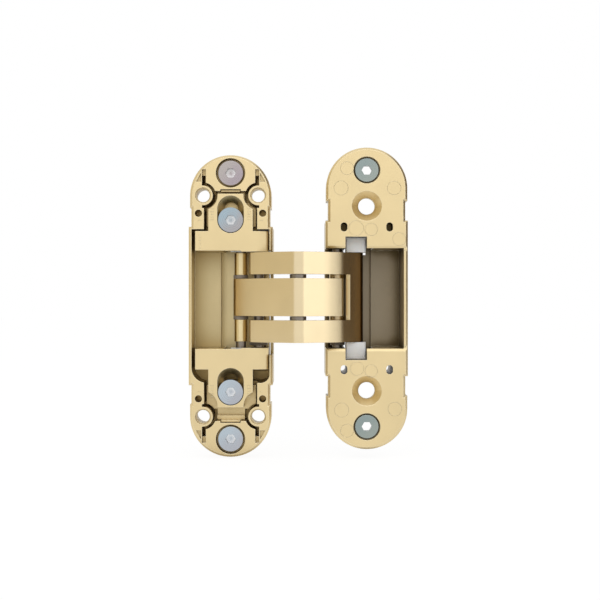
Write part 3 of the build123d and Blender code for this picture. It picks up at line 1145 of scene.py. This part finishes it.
@dataclass
class DoorHalf:
    """The half that is screwed into the door's edge.

    The ejector pins of the die leave faint rings on its front face, given as X from the
    half's centre, Z from the model's origin and radius, in mm.
    """

    frame: dict
    casting: bpy.types.Material
    plug: bpy.types.Material
    centre_x: float = 49.65
    bead: float = 0.07
    rings: tuple[tuple[float, float, float], ...] = (
        (-9.4, 43.0, 2.6),
        (9.9, 43.0, 2.5),
        (-7.2, 50.2, 2.4),
        (-3.9, 28.4, 2.7),
        (1.6, 27.9, 2.3),
        (11.8, 24.4, 2.4),
        (-9.2, -37.9, 2.6),
        (10.2, -37.5, 2.5),
        (-7.2, -45.4, 2.4),
        (-3.6, -22.8, 2.5),
        (1.6, -23.7, 2.3),
    )

    def dress(self) -> None:
        """Give every node of this half its finish."""
        dress("door_housing", self.casting, self.frame)
        for end in ("upper", "lower"):
            dress(f"{end}_adjuster_plug", self.plug, self.frame)

    def build(self) -> None:
        """Make the rings that the ejector pins leave."""
        marks = bmesh.new()
        for x, z, radius in self.rings:
            add_bead_ring(marks, (self.centre_x + x, z), radius, self.bead)
        mesh_piece("door_ejector_rings", marks, self.casting, "door_housing")


# Studio


@dataclass(frozen=True)
class Lamp:
    """A rectangular lamp that faces the hinge.

    Its place and its width and height are in metres, and its face is white at level 1.
    """

    name: str
    place: tuple[float, float, float]
    size: tuple[float, float]
    level: float


@dataclass(frozen=True)
class Card:
    """An upright card beside the hinge that only reflections show.

    The azimuth is in degrees from the camera towards the door half, half the angle that the
    card takes up is in degrees too, and the distance and the heights are in metres.
    """

    name: str
    azimuth: float
    half_angle: float
    colour: str
    distance: float = 0.60
    middle: float = 0.45
    half_height: float = 0.5


@dataclass
class Studio:
    """A white studio: a floor under the hinge, soft lamps and reflecting cards.

    Lengths are in metres. To the eye the floor is a mix: white_share of it glows at
    white_level, and the rest is a matt board that takes the shadow.
    """

    floor_z: float = -0.0556
    floor_half_size: float = 3.0
    floor_board: str = "#F4F4F2"
    white_level: float = 1.06
    white_share: float = 0.88
    ambient: float = 0.62
    lamps: tuple[Lamp, ...] = (
        Lamp("front_lamp", (0.0, -1.1, 0.75), (1.2, 0.8), 0.9),
        Lamp("edge_lamp", (0.50, -0.34, 0.05), (0.14, 0.7), 0.6),
    )
    cards: tuple[Card, ...] = (
        Card("left_card", -66.0, 30.0, "#DFD5BB"),
        Card("right_flag", 93.0, 18.0, "#4A3414"),
    )
    camera_place: tuple[float, float, float] = (0.0253, -0.450, 0.0022)
    view_width: float = 0.2185
    sensor_mm: float = 36.0
    clip: tuple[float, float] = (0.01, 10.0)

    def build(self) -> None:
        """Make the world, the floor, the lamps, the cards and the camera."""
        self.make_world()
        self.make_floor()
        for lamp in self.lamps:
            self.make_lamp(lamp)
        for card in self.cards:
            self.make_card(card)
        self.make_camera()
        bpy.context.scene.view_settings.view_transform = "Standard"

    def make_world(self) -> None:
        """Make a world that is white to the eye and in reflections, and softer as a light."""
        world = bpy.data.worlds.new("white_room")
        bpy.context.scene.world = world
        world.use_nodes = True
        tree = world.node_tree
        tree.nodes.clear()
        seen = self.seen_share(tree)
        light = add_node(tree, "Background", {"Color": linear(WHITE), "Strength": self.ambient})
        white = add_node(tree, "Background", {"Color": linear(WHITE), "Strength": 1.0})
        mixed = add_node(
            tree,
            "MixShader",
            links={0: seen, 1: light.outputs[0], 2: white.outputs[0]},
        )
        add_node(tree, "OutputWorld", links={"Surface": mixed.outputs[0]})

    @staticmethod
    def seen_share(tree: bpy.types.NodeTree) -> bpy.types.NodeSocket:
        """Give 1 for camera, glossy and transmission rays and 0 for the others.

        Args:
            tree: The tree to add the nodes to.

        Returns:
            The socket with that value.
        """
        path = add_node(tree, "LightPath")
        total = add_node(
            tree,
            "Math",
            links={0: path.outputs["Is Camera Ray"], 1: path.outputs["Is Glossy Ray"]},
            operation="MAXIMUM",
        )
        total = add_node(
            tree,
            "Math",
            links={0: total.outputs[0], 1: path.outputs["Is Transmission Ray"]},
            operation="MAXIMUM",
        )
        return total.outputs[0]

    def make_floor(self) -> None:
        """Make a pale floor that is white to the eye and still takes a soft shadow."""
        build = bmesh.new()
        bmesh.ops.create_grid(build, x_segments=1, y_segments=1, size=self.floor_half_size)
        bmesh.ops.translate(build, verts=build.verts, vec=(0, 0, self.floor_z))
        material, tree = new_material("pale_floor")
        matt = add_node(tree, "BsdfDiffuse", {"Color": linear(self.floor_board)})
        white = add_node(
            tree, "Emission", {"Color": linear(WHITE), "Strength": self.white_level}
        )
        share = add_node(
            tree,
            "Math",
            {1: self.white_share},
            {0: self.seen_share(tree)},
            operation="MULTIPLY",
        )
        mixed = add_node(
            tree,
            "MixShader",
            links={0: share.outputs[0], 1: matt.outputs[0], 2: white.outputs[0]},
        )
        add_node(tree, "OutputMaterial", links={"Surface": mixed.outputs[0]})
        new_piece("floor", build, material)

    def make_lamp(self, lamp: Lamp) -> None:
        """Make a lamp.

        Args:
            lamp: The lamp's sizes.
        """
        width, height = lamp.size
        data = bpy.data.lights.new(lamp.name, "AREA")
        data.shape = "RECTANGLE"
        data.size, data.size_y = width, height
        data.energy = lamp.level * math.pi * width * height
        piece = bpy.data.objects.new(lamp.name, data)
        piece.location = lamp.place
        aim = Vector(self.camera_place) * Vector((1, 0, 1)) - Vector(lamp.place)
        piece.rotation_euler = aim.to_track_quat("-Z", "Y").to_euler()
        bpy.context.scene.collection.objects.link(piece)

    def make_card(self, card: Card) -> None:
        """Make a card.

        Args:
            card: The card's sizes.
        """
        half_width = card.distance * math.tan(math.radians(card.half_angle))
        turn = math.radians(card.azimuth)
        centre = Vector((math.sin(turn), -math.cos(turn), 0)) * card.distance
        across = Vector((math.cos(turn), math.sin(turn), 0)) * half_width
        build = bmesh.new()
        bmesh.ops.create_grid(build, x_segments=1, y_segments=1, size=1.0)
        for vert in build.verts:
            u, v = vert.co.x, vert.co.y
            height = card.middle + card.half_height * v
            vert.co = centre + across * u + Vector((self.camera_place[0], 0, height))
        material, tree = new_material(card.name + "_board")
        glow = add_node(tree, "Emission", {"Color": linear(card.colour), "Strength": 1.0})
        add_node(tree, "OutputMaterial", links={"Surface": glow.outputs[0]})
        piece = new_piece(card.name, build, material)
        piece.visible_camera = False
        piece.visible_shadow = False
        piece.visible_diffuse = False

    def make_camera(self) -> None:
        """Make the camera, which looks straight at the front faces."""
        data = bpy.data.cameras.new("camera")
        data.sensor_width = self.sensor_mm
        distance = -self.camera_place[1]
        data.lens = data.sensor_width * distance / self.view_width
        data.clip_start, data.clip_end = self.clip
        camera = bpy.data.objects.new("camera", data)
        camera.location = self.camera_place
        camera.rotation_euler = (math.radians(90), 0, 0)
        bpy.context.scene.collection.objects.link(camera)
        bpy.context.scene.camera = camera


def main() -> None:
    """Build the studio and the three sub-assemblies in order."""
    logging.basicConfig(level=logging.INFO, format="%(message)s")
    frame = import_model()
    Studio().build()
    arms = ArmPair(
        frame,
        # The outer arm carries a painted reflection of the dark pocket wall on its heel
        outer_plate=LinishedGold(
            "satin_gold_on_outer_arm", shade_most=0.25, heel_reflection_most=0.85
        ).build(),
        inner_plate=LinishedGold("satin_gold_on_inner_arm").build(),
        sleeve=LinishedGold(
            "satin_gold_on_turned_sleeve", gold="#E8D5A6", shade_most=0.2
        ).build(),
        steel=GroundSteel().build(),
        washer=MouldedPolymer("acetal_washer", "#8C8072", 0.45).build(),
        nylon=MouldedPolymer("natural_nylon", "#FCFDFE", 0.38, glow=0.3).build(),
    )
    frame_half = FrameHalf(
        frame,
        casting=GoldPlate(
            "satin_gold_on_frame_shell", pocket_shade="#B8A77E", groove_mm=10.0
        ).build(),
        slide_casting=GoldPlate(
            "satin_gold_on_carrier", pocket_shade="#D8C698", deep_to_mm=POCKET_END_MM
        ).build(),
        screws={
            "upper": (
                TurnedZinc("zinc_screw_pink_film", Passivation.PINK, 9.5).build(),
                TurnedZinc("zinc_screw_blue_film", Passivation.BLUE, 9.1).build(),
            ),
            "lower": (
                TurnedZinc("zinc_screw_clear_film", Passivation.CLEAR, 9.5).build(),
                TurnedZinc("zinc_screw_clear_film_small", Passivation.CLEAR, 9.1).build(),
            ),
        },
    )
    door_half = DoorHalf(
        frame,
        casting=GoldPlate(
            "satin_gold_on_door_shell",
            pocket_shade="#766D60",
            deep_to_mm=POCKET_END_MM,
            # The door shell's grooves get a darker, stronger painted shade
            groove="#4A3C1E",
            groove_mm=5.0,
            groove_shade_share=0.9,
            groove_open=0.5,
        ).build(),
        plug=TurnedZinc("zinc_plug_green_film", Passivation.GREEN, 8.9).build(),
    )
    for part in (frame_half, arms, door_half):
        part.dress()
    for part in (frame_half, door_half):
        part.build()


if __name__ == "__main__":
    main()
